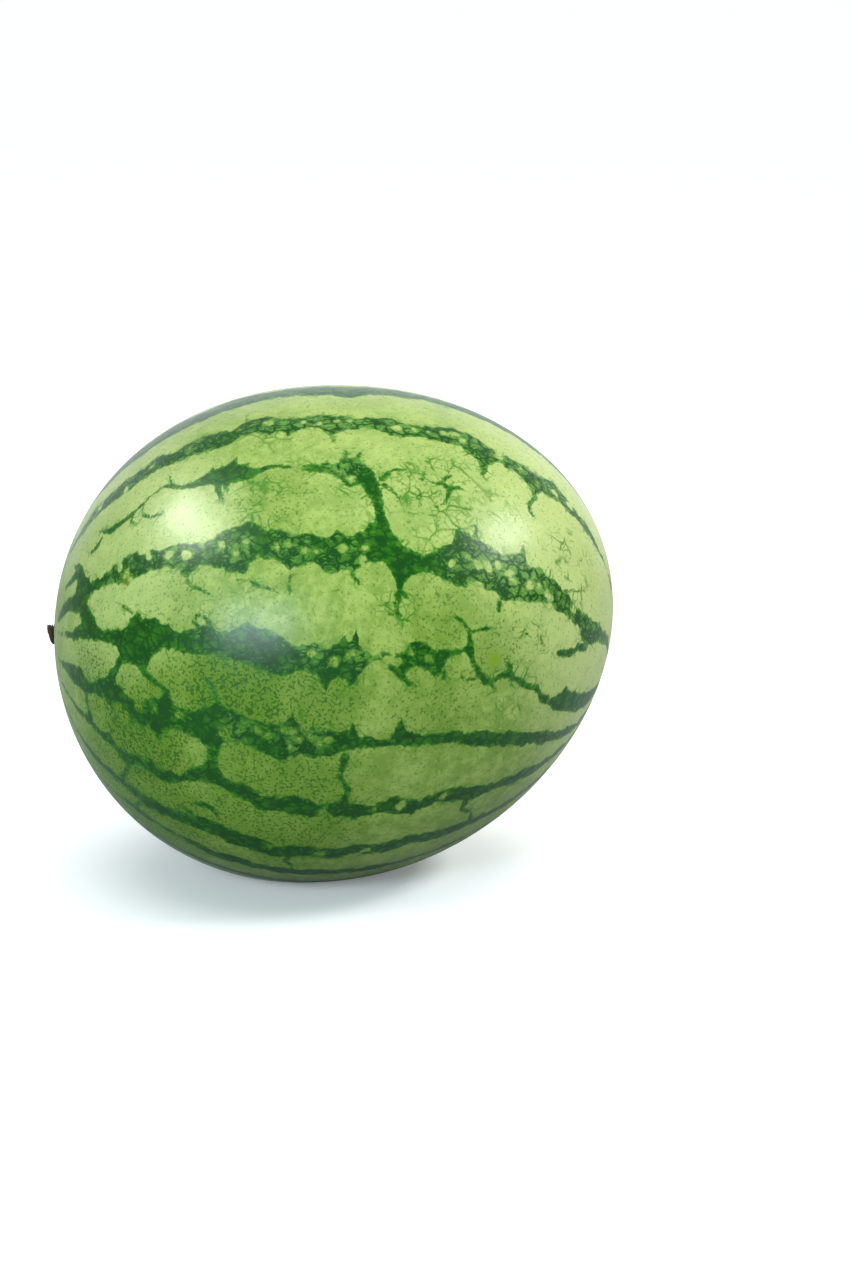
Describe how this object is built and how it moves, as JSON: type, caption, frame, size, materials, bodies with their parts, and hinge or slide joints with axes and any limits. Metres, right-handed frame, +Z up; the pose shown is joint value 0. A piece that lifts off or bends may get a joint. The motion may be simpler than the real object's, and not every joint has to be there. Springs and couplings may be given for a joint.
{
  "type": "watermelon",
  "caption": "Whole oval striped watermelon lying on its side on a small flat spot, with a short dry stub of stem at one end.",
  "frame": {"origin": "middle of the bottom of the object's box, on the surface that the fruit rests on", "axes": "+X from the stem end to the blossom end along the fruit's length, +Z up from the surface"},
  "size_m": [0.2848, 0.249, 0.2468],
  "materials": {
    "rind": "waxy satin",
    "dry_stem": "dry and matt"
  },
  "bodies": {
    "root": {"fruit": "rind", "stem_stub": "dry_stem"}
  },
  "joints": []
}
